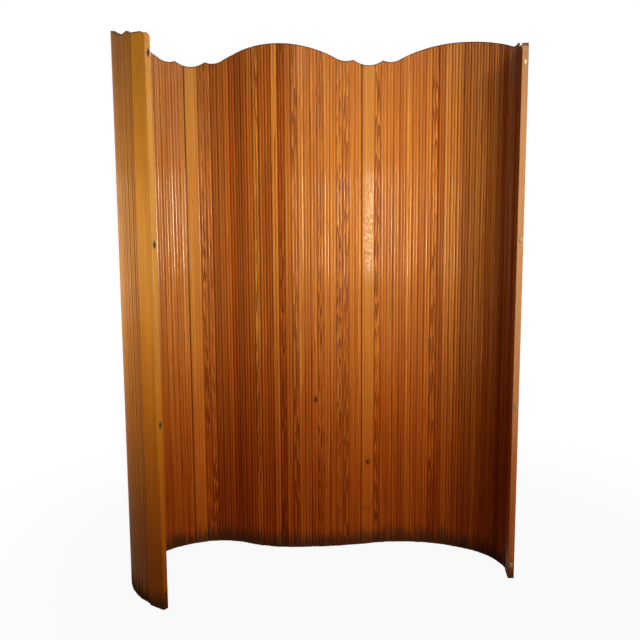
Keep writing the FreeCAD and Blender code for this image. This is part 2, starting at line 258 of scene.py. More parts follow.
class Tree:
    """The node tree of a material or of the world, put together node by node."""

    def __init__(self, owner):
        owner.use_nodes = True
        self.tree = owner.node_tree
        self.tree.nodes.clear()

    def node(self, kind, settings=None, sockets=None, output=0):
        """Adds a node with its settings and with values or wires for its sockets, and gives one output."""
        made = self.tree.nodes.new(kind)
        for key, value in (settings or {}).items():
            setattr(made, key, value)
        for key, value in (sockets or {}).items():
            if isinstance(value, Wire):
                self.tree.links.new(value.socket, made.inputs[key])
            else:
                made.inputs[key].default_value = value
        return Wire(self, made.outputs[output]) if made.outputs else None

    def math(self, operation, *values):
        return self.node("ShaderNodeMath", {"operation": operation}, dict(enumerate(values)))

    def attribute(self, name):
        return self.node("ShaderNodeAttribute", {"attribute_name": name}, output="Vector")

    def place(self):
        return self.node("ShaderNodeTexCoord", output="Object")

    def parts(self, vector):
        return [self.node("ShaderNodeSeparateXYZ", {}, {0: vector}, axis) for axis in "XYZ"]

    def noise(self, place, cells, detail, roughness=0.5):
        """Noise from 0 to 1 with so many cells to the metre on each axis."""
        scaled = self.node("ShaderNodeVectorMath", {"operation": "MULTIPLY"}, {0: place, 1: cells})
        sockets = {"Vector": scaled, "Scale": 1.0, "Detail": detail, "Roughness": roughness}
        return self.node("ShaderNodeTexNoise", {}, sockets)

    def ease(self, value, low, high):
        """0 up to low, 1 from high on, and a smooth step between them."""
        sockets = {"Value": value, "From Min": low, "From Max": high}
        return self.node("ShaderNodeMapRange", {"interpolation_type": "SMOOTHSTEP"}, sockets)

    def blend(self, factor, first, second, mode="MIX"):
        settings = {"data_type": "RGBA", "blend_type": mode}
        return self.node("ShaderNodeMix", settings, {0: factor, 6: first, 7: second}, 2)

    def bump(self, strength, distance, height):
        return self.node("ShaderNodeBump", {}, {"Strength": strength, "Distance": distance, "Height": height})

    def surface(self, sockets):
        """Ends a material with one surface."""
        shader = self.node("ShaderNodeBsdfPrincipled", {}, sockets)
        self.node("ShaderNodeOutputMaterial", {}, {0: shader})


def rgb(red, green, blue):
    return (red, green, blue, 1)


WHITE = rgb(1, 1, 1)

# Patterns in pine: cells to the metre across, through and along the grain, then detail and roughness
RAGGED = ((90, 90, 90), 2.0)
SWAY = ((22, 22, 2.6), 3.0)
CURL = ((38, 38, 9), 3.0, 0.6)
STREAKS = ((150, 150, 1.3), 2.0, 0.6)
BANDS = ((85, 85, 0.7), 1.0)
FIBRES = ((800, 800, 9), 3.0, 0.6)
DUCTS = ((520, 520, 22), 2.0)
CLOUDS = ((14, 14, 2.0), 3.0)
SPLASHES = ((40, 40, 10), 3.0)
BLOTCHES = ((130, 130, 70), 3.0, 0.6)
RUBBING = ((260, 260, 1.1), 1.0)

# Where a pattern begins to show and where it shows in full
STREAK_EDGE = (0.48, 0.68)
BAND_EDGE = (0.42, 0.66)
DUCT_EDGE = (0.60, 0.72)
CLOUD_EDGE = (0.40, 0.75)
BLOTCH_EDGE = (0.41, 0.59)
RUBBED_EDGE = (0.45, 0.60)
FIBRE_START = 0.35
FLAME_GROWTH = (0.35, 0.75)
FLAME_FIGURE = (0.3, 0.8)
FLAME_CLOUD = (0.42, 0.56)

# Knots and scratches, in metres from their middle, and how ragged their outlines are
KNOT_SWELL = (0.0, 0.030)
KNOT_EYE = (0.0020, 0.0175)
KNOT_RAGGED = 0.008
SCRATCH_WIDTH = (0.0006, 0.0018)
SCRATCH_RAGGED = 0.006

# Growth rings: how far figure and knots push them, how figure crowds them, and how sharply late wood ends
CURL_REACH = 0.0055
KNOT_PUSH = 0.010
CROWDING = 0.5
LATE_POWER = 2.0

# Tones laid over the wood, and how much of it they hide
RED_EARLY = rgb(0.460, 0.094, 0.006)
RED_LATE = rgb(0.150, 0.022, 0.003)
FLAME_BROWN = rgb(0.060, 0.011, 0.003)
FLAME_SHARE = 0.85
BAND_SHARE = 0.45
STREAK_SHARE = 0.7
FIBRE_SHARE = 0.5
RESIN_BROWN = rgb(0.100, 0.018, 0.003)
RESIN_SHARE = 0.5
AMBER = rgb(0.400, 0.105, 0.012)
AMBER_SHARE = 0.3
DEEP_BROWN = rgb(0.110, 0.026, 0.008)
KNOT_BROWN = rgb(0.060, 0.014, 0.004)
EYE_SHARE = 0.72
SWELL_SHARE = 0.24
SCRATCH_BROWN = rgb(0.060, 0.018, 0.006)
SCRATCH_SHARE = 0.75
DIRT_AND_SHADE_BROWN = rgb(0.100, 0.024, 0.008)

# Age and painted shade: red towards the foot, grime over the floor, and shade painted along the top edge,
# with heights in metres
FOOT_RED = rgb(0.80, 0.44, 0.26)
FOOT_RED_HEIGHT = (0.1, 1.3)
FLOOR_GRIME = rgb(0.030, 0.018, 0.009)
FLOOR_GRIME_HEIGHT = (0.010, 0.085)
FLOOR_GRIME_SHARE = 0.8
SPLASH_REACH = 0.11
TOP_EDGE_SHADE = rgb(0.060, 0.026, 0.012)
TOP_EDGE_SHADE_DEPTH = (0.0015, 0.0065)
TOP_EDGE_SHADE_SHARE = 0.55
TOP_EDGE_SHADE_CLOUDS = 0.4

# Varnish: the heights between which it begins to shine, its roughness, and its relief
COAT_HEIGHT = (0.55, 1.25)
COAT_ROUGHNESS = 0.10
WOOD_SHEEN = 0.02
SMOOTHEST = 0.24
FIBRE_ROUGHNESS = 0.10
CLOUD_ROUGHNESS = 0.12
GRIME_ROUGHNESS = 0.4
LATE_RELIEF = 0.2
FIBRE_RELIEF = 0.3
BLOTCH_RELIEF = 0.4
RELIEF_STRENGTH = 0.15
RELIEF_DEPTH = 0.0004


def hypotenuse(first, second):
    return (first * first + second * second) ** 0.5


def knot_and_scratch(tree, grain):
    """Masks of a knot's swelling, of its dark eye and of a scratch across the slat."""
    beside, above, over_scratch = tree.parts(tree.attribute("marks"))
    ragged = tree.noise(grain, *RAGGED) - 0.5
    knot = hypotenuse(beside, above) + ragged * KNOT_RAGGED
    scratch = tree.math("ABSOLUTE", over_scratch + ragged * SCRATCH_RAGGED)
    reaches = ((knot, KNOT_SWELL), (knot, KNOT_EYE), (scratch, SCRATCH_WIDTH))
    return [1 - tree.ease(distance, *reach) for distance, reach in reaches]


def ring_growth(tree, grain, figure, swell, ring_width, sway_reach):
    """How far a ring about the pith has grown: 0 where its early wood begins, 1 where its late wood ends."""
    across, through = tree.parts(grain)[:2]
    sway = tree.noise(grain, *SWAY) - 0.5
    curl = tree.noise(grain, *CURL) - 0.5
    radius = hypotenuse(across, through)
    spread = radius + sway * sway_reach + curl * figure * CURL_REACH + swell * KNOT_PUSH
    return tree.math("FRACT", spread * (1 + figure * CROWDING) / ring_width)


def pine(name, early, late, ring_width, sway_reach, contrast, shine, redness=1.0):
    """Varnished pine. Grain, tint, dirt, painted shade, gloss and marks are point attributes of the wood's
    own pieces.
    """
    material = bpy.data.materials.new(name)
    tree = Tree(material)
    grain = tree.attribute("grain")
    hue, depth, figure = tree.parts(tree.attribute("tint"))
    # Dirt with painted shade in the gaps, gloss, and the height of the top edge, below which shade is painted
    dirt_and_shade, gloss, top = tree.parts(tree.attribute("dirt_shade_gloss"))
    height = tree.parts(tree.place())[2]
    swell, eye, scratch = knot_and_scratch(tree, grain)
    growth = ring_growth(tree, grain, figure, swell, ring_width, sway_reach)
    late_share = growth ** LATE_POWER

    # Broad bands, streaks, fibres and resin ducts run along the slat
    band = tree.ease(tree.noise(grain, *BANDS), *BAND_EDGE)
    streak = tree.ease(tree.noise(grain, *STREAKS), *STREAK_EDGE)
    fibre = tree.noise(grain, *FIBRES)
    duct = tree.ease(tree.noise(grain, *DUCTS), *DUCT_EDGE)
    cloud = tree.noise(grain, *CLOUDS)
    flame = tree.ease(growth, *FLAME_GROWTH) * tree.ease(figure, *FLAME_FIGURE)
    flame = flame * tree.ease(cloud, *FLAME_CLOUD)

    wood = tree.blend(hue, early, RED_EARLY)
    late_wood = tree.blend(hue, late, RED_LATE)
    for share, tone in (
        (late_share * contrast, late_wood),
        (flame * FLAME_SHARE, FLAME_BROWN),
        (band * contrast * BAND_SHARE, late_wood),
        (streak * contrast * STREAK_SHARE, late_wood),
        ((fibre - FIBRE_START) * FIBRE_SHARE, late_wood),
        (duct * contrast * RESIN_SHARE, RESIN_BROWN),
        (tree.ease(cloud, *CLOUD_EDGE) * AMBER_SHARE, AMBER),
        (depth, DEEP_BROWN),
        (eye * EYE_SHARE + swell * SWELL_SHARE, KNOT_BROWN),
        (scratch * SCRATCH_SHARE, SCRATCH_BROWN),
        # Dirt and painted shade in the gaps between slats and in the valleys between reeds
        (dirt_and_shade, DIRT_AND_SHADE_BROWN),
    ):
        wood = tree.blend(share, wood, tone)

    # Old varnish is redder towards the foot and grimy where the floor was washed, and shade is painted dark
    # along the top edge
    wood = tree.blend((1 - tree.ease(height, *FOOT_RED_HEIGHT)) * redness, wood, FOOT_RED, "MULTIPLY")
    splash = (tree.noise(grain, *SPLASHES) - 0.5) * SPLASH_REACH
    grime = (1 - tree.ease(height - splash, *FLOOR_GRIME_HEIGHT)) * FLOOR_GRIME_SHARE
    wood = tree.blend(grime, wood, FLOOR_GRIME)
    # Painted shade along the top edge, and over the right board's rounded corner
    top_shade = 1 - tree.ease(top - height, *TOP_EDGE_SHADE_DEPTH)
    wood = tree.blend(top_shade * (TOP_EDGE_SHADE_SHARE + cloud * TOP_EDGE_SHADE_CLOUDS), wood, TOP_EDGE_SHADE)

    # Gloss is even, blotchy and rubbed in streaks, each in its own measure
    even, blotchy, streaky = shine
    blotch = tree.ease(tree.noise(grain, *BLOTCHES), *BLOTCH_EDGE)
    rubbed = tree.ease(tree.noise(grain, *RUBBING), *RUBBED_EDGE)
    coat = even + blotch * blotchy + rubbed * streaky
    relief = late_share * LATE_RELIEF + fibre * FIBRE_RELIEF + blotch * BLOTCH_RELIEF - scratch
    roughness = SMOOTHEST + fibre * FIBRE_ROUGHNESS + cloud * CLOUD_ROUGHNESS + grime * GRIME_ROUGHNESS
    tree.surface({
        "Base Color": wood,
        "Roughness": roughness,
        "Normal": tree.bump(RELIEF_STRENGTH, RELIEF_DEPTH, relief),
        "Specular IOR Level": WOOD_SHEEN,
        "Coat Weight": tree.ease(height, *COAT_HEIGHT) * coat * (1 - hue) * gloss,
        "Coat Roughness": COAT_ROUGHNESS,
    })
    return material


# Brass: patterns as in pine, in the piece's own frame
STAINS = ((420, 420, 300), 4.0, 0.6)
FINE_SCRATCHES = ((900, 900, 4200), 2.0)
VERDIGRIS = ((260, 260, 210), 2.0)
BROWN_EDGE = (0.62, 0.80)
BROWN_SHARE = 0.92
BROWN_DULLNESS = 0.95
GREEN_EDGE = (0.58, 0.72)
GREEN_SHARE = 0.5
SCRATCHED_SHARE = 0.5
BRIGHT_METAL = rgb(0.40, 0.30, 0.13)
DULL_METAL = rgb(0.27, 0.19, 0.07)
TARNISH_BROWN = rgb(0.045, 0.024, 0.010)
TARNISH_GREEN = rgb(0.20, 0.24, 0.10)
BRASS_ROUGHNESS = 0.44
BROWN_ROUGHNESS = 0.25
SCRATCHED_ROUGHNESS = 0.1
BRASS_SHEEN = 0.12
BRASS_RELIEF = 0.3
BRASS_RELIEF_DEPTH = 0.0002


def brass(name, tarnish):
    """Brass plates and pins with brown tarnish and a little verdigris."""
    material = bpy.data.materials.new(name)
    tree = Tree(material)
    place = tree.place()
    stain = tree.noise(place, *STAINS)
    scratch = tree.noise(place, *FINE_SCRATCHES)
    brown = tree.ease(stain, *(edge - tarnish for edge in BROWN_EDGE))
    green = tree.ease(tree.noise(place, *VERDIGRIS), *GREEN_EDGE) * GREEN_SHARE
    metal = tree.blend(scratch * SCRATCHED_SHARE, BRIGHT_METAL, DULL_METAL)
    metal = tree.blend(brown * BROWN_SHARE, metal, TARNISH_BROWN)
    metal = tree.blend(green * (1 - tarnish), metal, TARNISH_GREEN)
    tree.surface({
        "Base Color": metal,
        "Metallic": 1 - brown * BROWN_DULLNESS,
        "Roughness": BRASS_ROUGHNESS + brown * BROWN_ROUGHNESS + scratch * SCRATCHED_ROUGHNESS,
        "Normal": tree.bump(BRASS_RELIEF, BRASS_RELIEF_DEPTH, scratch + stain),
        "Specular IOR Level": BRASS_SHEEN,
    })
    return material


# Wire rope: strands side by side round a cable, and how fast they twist, in radians to the metre
STRANDS = 6
TWIST = 520
ROPE_CLOUDS = ((300, 300, 300), 3.0)
BRIGHT_STEEL = rgb(0.42, 0.41, 0.40)
DULL_STEEL = rgb(0.20, 0.18, 0.16)
STRAND_GAP_SHADE = rgb(0.06, 0.055, 0.05)
STRAND_GAP_SHADE_SHARE = 0.7
STEEL_ROUGHNESS = 0.3
DULL_ROUGHNESS = 0.3
ROPE_RELIEF = 0.8
ROPE_RELIEF_DEPTH = 0.0003


def wire_rope(name):
    """Steel strands laid round a cable, dulled by age, with painted shade between the strands."""
    material = bpy.data.materials.new(name)
    tree = Tree(material)
    turn, along = tree.parts(tree.attribute("lay"))[:2]
    strand = tree.math("SINE", turn * STRANDS + along * TWIST) * 0.5 + 0.5
    dull = tree.noise(tree.place(), *ROPE_CLOUDS)
    steel = tree.blend(dull, BRIGHT_STEEL, DULL_STEEL)
    # The grooves between strands are painted dark with shade
    steel = tree.blend((1 - strand) * STRAND_GAP_SHADE_SHARE, steel, STRAND_GAP_SHADE)
    tree.surface({
        "Base Color": steel,
        "Metallic": 1.0,
        "Roughness": STEEL_ROUGHNESS + dull * DULL_ROUGHNESS,
        "Normal": tree.bump(ROPE_RELIEF, ROPE_RELIEF_DEPTH, strand),
    })
    return material


SLAT_PINE = pine(
    "slat_pine",
    early=rgb(0.640, 0.262, 0.038),
    late=rgb(0.330, 0.080, 0.009),
    ring_width=0.0048,
    sway_reach=0.010,
    contrast=0.90,
    shine=(0.05, 0.25, 0.70),
)
WIDE_PINE = pine(
    "wide_slat_pine",
    early=rgb(0.640, 0.286, 0.045),
    late=rgb(0.400, 0.122, 0.011),
    ring_width=0.0060,
    sway_reach=0.016,
    contrast=0.75,
    shine=(0.04, 0.27, 0.0),
)
BOARD_PINE = pine(
    "end_board_pine",
    early=rgb(0.710, 0.312, 0.028),
    late=rgb(0.430, 0.146, 0.010),
    ring_width=0.0080,
    sway_reach=0.012,
    contrast=0.40,
    shine=(0.02, 0.06, 0.04),
)
# The right end board's pale, bluish base colour holds a painted sheen, the haze of its varnish, with little
# coat
SHEEN_PAINTED_PINE = pine(
    "board_pine_with_painted_sheen",
    early=rgb(0.660, 0.350, 0.150),
    late=rgb(0.490, 0.235, 0.090),
    ring_width=0.0080,
    sway_reach=0.012,
    contrast=0.40,
    shine=(0.02, 0.06, 0.0),
)
PALE_PINE = pine(
    "pale_slat_pine",
    early=rgb(0.620, 0.295, 0.060),
    late=rgb(0.460, 0.180, 0.024),
    ring_width=0.0048,
    sway_reach=0.010,
    contrast=0.25,
    shine=(0.05, 0.10, 0.0),
    redness=0.6,
)
DARK_BRASS = brass("tarnished_brass", tarnish=0.42)
BRIGHT_BRASS = brass("rubbed_brass", tarnish=0.20)
STEEL = wire_rope("cable_steel")


# Shapes of the pieces

def finished(bm, name, material, body, nodes):
    """Makes a piece of a mesh that is already in its place at rest."""
    bmesh.ops.recalc_face_normals(bm, faces=bm.faces[:])
    for face in bm.faces:
        face.smooth = True
    for edge in bm.edges:
        edge.smooth = edge.is_manifold and edge.calc_face_angle() < SHARP
    mesh = bpy.data.meshes.new(name)
    bm.to_mesh(mesh)
    bm.free()
    piece = bpy.data.objects.new(name, mesh)
    bpy.context.scene.collection.objects.link(piece)
    mesh.materials.append(material)
    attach(piece, body)
    if nodes:
        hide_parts(*nodes)


class Section:
    """The outline of a link seen from above, drawn counter-clockwise in the link's own frame."""

    def __init__(self, x, y):
        self.bm = bmesh.new()
        self.first = self.tip = self.bm.verts.new((x, y, 0))

    def line(self, x, y, steps=1):
        start = self.tip.co.copy()
        for step in range(steps):
            point = self.bm.verts.new(start.lerp((x, y, 0), (step + 1) / steps))
            self.bm.edges.new((self.tip, point))
            self.tip = point

    def arc(self, x, y, degrees, steps):
        """Goes on round a centre."""
        angle = math.radians(degrees)
        turned = bmesh.ops.spin(
            self.bm, geom=[self.tip], cent=(x, y, 0), axis=(0, 0, 1), angle=angle, steps=steps
        )
        self.tip = turned["geom_last"][0]

    def close(self):
        bmesh.ops.remove_doubles(self.bm, verts=[self.tip, self.first], dist=1e-6)
        loose = [vert for vert in self.bm.verts if len(vert.link_edges) == 1]
        if loose:
            self.bm.edges.new(loose)
        return bmesh.ops.contextual_create(self.bm, geom=self.bm.edges[:])["faces"][0]


def bead_edge(section, hinge, half):
    """Right edge of a link, front to back: shoulder, bead on the hinge line, shoulder."""
    shoulder = hinge - SHOULDER_SETBACK
    spread = math.sqrt(BEAD_RADIUS ** 2 - SHOULDER_SETBACK ** 2)
    sweep = 2 * math.degrees(math.pi - math.atan2(spread, SHOULDER_SETBACK))
    section.line(shoulder, -spread)
    section.arc(hinge, 0, sweep, BEAD_STEPS)
    section.line(shoulder, half)


def cove_edge(section, hinge, half):
    """Left edge of a link, back to front: shoulder, cove round the hinge line, shoulder."""
    shoulder = hinge + SHOULDER_SETBACK
    spread = math.sqrt(COVE_RADIUS ** 2 - SHOULDER_SETBACK ** 2)
    sweep = 2 * math.degrees(math.atan2(spread, SHOULDER_SETBACK))
    section.line(shoulder, spread)
    section.arc(hinge, 0, -sweep, COVE_STEPS)
    section.line(shoulder, -half)


def reeded_face(section, half_width, side):
    """Reeds side by side over a narrow slat's face; side is -1 at the front and 1 at the back."""
    half = half_width / REEDS_ON_SLAT
    radius = (half ** 2 + REED_RISE ** 2) / (2 * REED_RISE)
    sweep = 2 * math.degrees(math.asin(half / radius))
    for reed in range(REEDS_ON_SLAT):
        middle = -side * (-half_width + (2 * reed + 1) * half)
        section.arc(middle, side * (HALF_CORE + REED_RISE - radius), sweep, REED_STEPS)


def plain_face(section, half_width, side):
    """A wide slat's flat face with quarter-round edges."""
    inner = half_width - REED_RISE
    section.arc(side * inner, side * HALF_CORE, 90, CORNER_STEPS)
    section.line(-side * inner, side * (HALF_CORE + REED_RISE), FLAT_STEPS)
    section.arc(-side * inner, side * HALF_CORE, 90, CORNER_STEPS)


def blank(pitch, face):
    """The section of a slat whose front and back are faced alike."""
    half_width = pitch / 2 - SHOULDER_SETBACK
    section = Section(-half_width, -HALF_CORE)
    face(section, half_width, -1)
    bead_edge(section, pitch / 2, HALF_CORE)
    face(section, half_width, 1)
    cove_edge(section, -pitch / 2, HALF_CORE)
    return section


def raised(section, top_height, cove_end):
    """Pulls a section up to a height that depends on the place across it, and eases the sawn ends."""
    bm = section.bm
    foot = section.close()
    grown = bmesh.ops.extrude_face_region(bm, geom=[foot])["geom"]
    top = {item for item in grown if isinstance(item, bmesh.types.BMVert)}
    for vert in top:
        vert.co.z = top_height(vert.co.x)
    lid = next(item for item in grown if isinstance(item, bmesh.types.BMFace))
    cut_across(bm, lid, cove_end)
    lids = [face for face in bm.faces if top.issuperset(face.verts)]
    soles = [face for face in bm.faces if max(vert.co.z for vert in face.verts) == 0]
    ease_end(bm, lids, -ARRIS)
    ease_end(bm, soles, ARRIS)
    return bm


def cut_across(bm, lid, cove_end):
    """Cuts a link's end grain from front to back, so that it follows the outline."""
    front = [vert for vert in lid.verts if vert.co.y < -HALF_CORE / 2 and vert.co.x > cove_end]
    back = {round(vert.co.x, 6): vert for vert in lid.verts if vert.co.y > HALF_CORE / 2}
    for vert in sorted(front, key=lambda v: v.co.x):
        partner = back.get(round(vert.co.x, 6))
        if partner and not any(partner in edge.verts for edge in vert.link_edges):
            bmesh.ops.connect_vert_pair(bm, verts=[vert, partner])


def ease_end(bm, faces, shift):
    """Eases a sawn end: its faces shrink by an arris, and their old rim moves back along the sides."""
    rim = {vert for face in faces for vert in face.verts}
    bmesh.ops.inset_region(bm, faces=faces, thickness=ARRIS, use_even_offset=True)
    for vert in rim:
        vert.co.z += shift


def joined(parts):
    """One mesh of several, each with its own matrix."""
    whole = bmesh.new()
    for bm, matrix in parts:
        bmesh.ops.transform(bm, matrix=matrix, verts=bm.verts[:])
        mesh = bpy.data.meshes.new("part")
        bm.to_mesh(mesh)
        bm.free()
        whole.from_mesh(mesh)
        bpy.data.meshes.remove(mesh)
    return whole


# Timber: how a piece lay in its log, as ranges of degrees round the pith, distance, slant and figure
FLAMED_CUT = {"turn": (-16, 16), "distance": (0.035, 0.060), "slant": (0.016, 0.034), "figure": (0.6, 1.0)}
PLAIN_CUT = {"turn": (25, 155), "distance": (0.030, 0.120), "slant": (0.0, 0.010), "figure": (0.0, 0.25)}
LOG_LENGTH = 40

# Dirt and painted shade in the gaps between slats and in the valleys between reeds
GAP_DIRT_AND_SHADE = (0.05, 0.28)
DEEP_GAP_DIRT_AND_SHADE = 0.80
DEEP_GAP_SHARE = 0.15
VALLEY_DIRT_AND_SHADE = 0.10

# Knots are taller than wide; a mark that a piece lacks lies far beyond it
KNOT_NARROWING = 1.5
NOWHERE = 9
NO_KNOT = Vector((0, 0, NOWHERE))


def gap_dirt_and_shade(draw):
    if draw.random() < DEEP_GAP_SHARE:
        return DEEP_GAP_DIRT_AND_SHADE
    return draw.uniform(*GAP_DIRT_AND_SHADE)


class Timber:
    """How one piece of pine was cut from its log, its tone, and what marks, dirt, painted shade and gloss it
    has.
    """

    def __init__(self, draw, hue, depth, flamed=False):
        cut = FLAMED_CUT if flamed else PLAIN_CUT
        turn = draw.uniform(*cut["turn"])
        if not flamed:
            turn *= draw.choice((-1, 1))
        angle = math.radians(turn)
        distance = draw.uniform(*cut["distance"])
        along_log = draw.uniform(0, LOG_LENGTH)
        self.pith = Vector((distance * math.sin(angle), distance * math.cos(angle), along_log))
        slant = draw.uniform(*cut["slant"])
        self.slant = Vector((slant * math.sin(angle), slant * math.cos(angle), 0)) * draw.choice((-1, 1))
        self.tint = (hue, depth, draw.uniform(*cut["figure"]))
        self.gaps = [gap_dirt_and_shade(draw) for side in ("left", "right")]
        self.knot = NO_KNOT
        self.scratch = NOWHERE
        self.shade_reach = NOWHERE
        self.gloss = self.edge_gloss = 1.0
        self.free_side = 0
        self.fade = 0.0

    def dirt_and_shade(self, x, y):
        """Dirt and painted shade at a place of the section: in the gaps, in the valleys, and on a wide slat's
        edge beside its deep gap.
        """
        if abs(y) < HALF_CORE - ARRIS or -x > self.shade_reach:
            left, right = self.gaps
            return right if x > 0 else left
        if abs(y) < HALF_CORE + ARRIS / 2:
            return VALLEY_DIRT_AND_SHADE
        return 0.0

    def mark(self, bm, top):
        """Writes the grain, tint, dirt and painted shade, gloss and marks of every point of a piece in its
        own frame.
        """
        grain = bm.verts.layers.float_vector.new("grain")
        tint = bm.verts.layers.float_vector.new("tint")
        dirt_shade_gloss = bm.verts.layers.float_vector.new("dirt_shade_gloss")
        marks = bm.verts.layers.float_vector.new("marks")
        hue, depth, figure = self.tint
        for vert in bm.verts:
            x, y, z = vert.co
            gloss = self.edge_gloss if x * self.free_side > EDGE_REACH else self.gloss
            vert[grain] = vert.co + self.slant * z + self.pith
            vert[tint] = (hue, depth + self.fade * z, figure)
            vert[dirt_shade_gloss] = (self.dirt_and_shade(x, y), gloss, top(x))
            vert[marks] = ((x - self.knot.x) * KNOT_NARROWING, z - self.knot.z, z - self.scratch)


# Narrow slats, counted from the left: ranges of hue and depth of their tone, where they leave the common run
COMMON_TONE = ((0.12, 0.45), (0.0, 0.20))
BROWN_TONE = ((0.5, 0.7), (0.25, 0.42))
RED_TONE = ((0.55, 0.95), (0.0, 0.28))
GOLD_TONE = ((0.0, 0.1), (0.0, 0.05))
EVEN_TONE = ((0.08, 0.40), (0.0, 0.12))
SLAT_TONES = (
    ({28, 29, 32, 62}, BROWN_TONE),
    ({30, 31, 33, 34, 36, 37, 39, 70, 73}, RED_TONE),
    ({14, 20, 22, 23, 25, 35, 38, 42, 46, 51, 57, 63, 75}, GOLD_TONE),
    (range(52, 66), EVEN_TONE),
)

# At the left end the tone changes step by step
PALE_SLATS = range(0, 8)
PALE_HUE = 0.20
PALE_HUE_STEP = 0.03
PALE_DEPTH_STEP = 0.018
GRADED_SLATS = range(8, 14)
GRADED_HUE_STEP = 0.05

# Figure, gloss and knots of single slats; a knot has a height, and lies this far from the middle at most
FLAMED_SLATS = {12, 18, 26, 27, 35, 39, 41, 45, 48, 49, 52, 61}
SLAT_GLOSS = ((range(20, 26), 2.2), (range(28, 41), 0.06), (range(61, 73), 0.7))
KNOT_HEIGHTS = {9: 1.22, 17: 0.45, 44: 0.62}
KNOT_OFFSET = 0.006


def drawn_tone(draw, ranges):
    return [draw.uniform(*bounds) for bounds in ranges]


def slat_tone(number, draw):
    """Hue and depth of a narrow slat's tone."""
    common = drawn_tone(draw, COMMON_TONE)
    for slats, ranges in SLAT_TONES:
        if number in slats:
            return drawn_tone(draw, ranges)
    if number in PALE_SLATS:
        return PALE_HUE - PALE_HUE_STEP * number, PALE_DEPTH_STEP * number
    if number in GRADED_SLATS:
        return GRADED_HUE_STEP * (number - GRADED_SLATS[0]), 0.0
    return common


def slat_timber(number, draw):
    hue, depth = slat_tone(number, draw)
    timber = Timber(draw, hue, depth, number in FLAMED_SLATS)
    if number in PALE_SLATS:
        timber.gaps = [GAP_DIRT_AND_SHADE[0], GAP_DIRT_AND_SHADE[0]]
    for slats, gloss in SLAT_GLOSS:
        if number in slats:
            timber.gloss = gloss
    if number in KNOT_HEIGHTS:
        timber.knot = Vector((draw.uniform(-KNOT_OFFSET, KNOT_OFFSET), 0, KNOT_HEIGHTS[number]))
    return timber


def settled(draw, offset):
    """A slat's place in its link: a little forward of the hinge line, and never quite square with it."""
    shift = Matrix.Translation((offset, -draw.uniform(*STEP_FORWARD), 0))
    return shift @ Matrix.Rotation(draw.uniform(-OUT_OF_SQUARE, OUT_OF_SQUARE), 4, "Z")


def outline_over(along):
    """Height of the top outline over a piece whose middle is at a place along the flat screen."""
    return lambda x: crest(along + x)


def narrow_slats(link, number):
    """The two reeded slats of a link."""
    draw = random.Random(f"slats {number}")
    foot_wear = [draw.uniform(0, FOOT_WEAR) for slat in range(SLATS_IN_PAIR)]
    parts = []
    for slat in range(SLATS_IN_PAIR):
        offset = (slat + 0.5) * NARROW_PITCH - PAIR_PITCH / 2
        top = outline_over(STARTS[link] + PAIR_PITCH / 2 + offset)
        bm = raised(blank(NARROW_PITCH, reeded_face), top, COVE_RADIUS - NARROW_PITCH / 2)
        for vert in bm.verts:
            if vert.co.z < 2 * ARRIS:
                vert.co.z += foot_wear[slat]
        slat_timber(number + slat, draw).mark(bm, top)
        parts.append((bm, PLACES[link] @ settled(draw, offset)))
    node = NODES[link]
    material = PALE_PINE if number in PALE_SLATS else SLAT_PINE
    finished(joined(parts), f"{node}_reeded", material, node, [node])


# A wide slat's left edge is painted dark with the shade of its deep gap, as far as its rounding, and a little
# beyond
SHADE_WIDTH = 1.05 * REED_RISE


def wide_slat(link, hue, depth, fade, knot=NO_KNOT, scratch=NOWHERE):
    """A flat wide slat; fade is how much deeper its tone gets with each metre of height."""
    draw = random.Random(f"wide slat {link}")
    top = outline_over(STARTS[link] + WIDE_PITCH / 2)
    bm = raised(blank(WIDE_PITCH, plain_face), top, COVE_RADIUS - WIDE_PITCH / 2)
    timber = Timber(draw, hue, depth)
    # The deep gap on the left, and the edge beside it, are painted dark with shade
    timber.gaps[0] = DEEP_GAP_DIRT_AND_SHADE
    timber.shade_reach = WIDE_PITCH / 2 - SHOULDER_SETBACK - SHADE_WIDTH
    timber.fade = fade
    timber.knot = knot
    timber.scratch = scratch
    timber.mark(bm, top)
    node = NODES[link]
    finished(joined([(bm, PLACES[link])]), f"{node}_plain", WIDE_PINE, node, [node])


def board_top(outward):
    """Height of an end board across its width, with its free top corner rounded."""
    def height(x):
        past = max(0.0, outward * x - (BOARD_WIDTH / 2 - BOARD_CORNER_RADIUS))
        drop = BOARD_CORNER_RADIUS - math.sqrt(BOARD_CORNER_RADIUS ** 2 - min(past, BOARD_CORNER_RADIUS) ** 2)
        return BOARD_HEIGHT - drop

    return height


def board_edge(outward, shaded_corner):
    """Height along which a board is painted dark with shade: on one with a shaded corner it follows the
    rounded corner.
    """
    top = board_top(outward)
    return lambda x: top(x) if shaded_corner and x * outward < EDGE_REACH else BOARD_HEIGHT


def corner_places():
    """Places across a board's rounded corner, evenly round it, as far as the arris of the free edge."""
    sweep = math.asin(1 - BOARD_EDGE_RADIUS / BOARD_CORNER_RADIUS)
    bend = BOARD_WIDTH / 2 - BOARD_CORNER_RADIUS
    angles = [sweep * step / ROUND_STEPS for step in range(ROUND_STEPS + 1)]
    return [bend + BOARD_CORNER_RADIUS * math.sin(angle) for angle in angles]


def free_edge(section, outward):
    """The free edge of an end board, with rounded arrises."""
    flat = HALF_BOARD - BOARD_EDGE_RADIUS
    middle = outward * (BOARD_WIDTH / 2 - BOARD_EDGE_RADIUS)
    section.arc(middle, -outward * flat, 90, CORNER_STEPS)
    section.line(outward * BOARD_WIDTH / 2, outward * flat)
    section.arc(middle, outward * flat, 90, CORNER_STEPS)


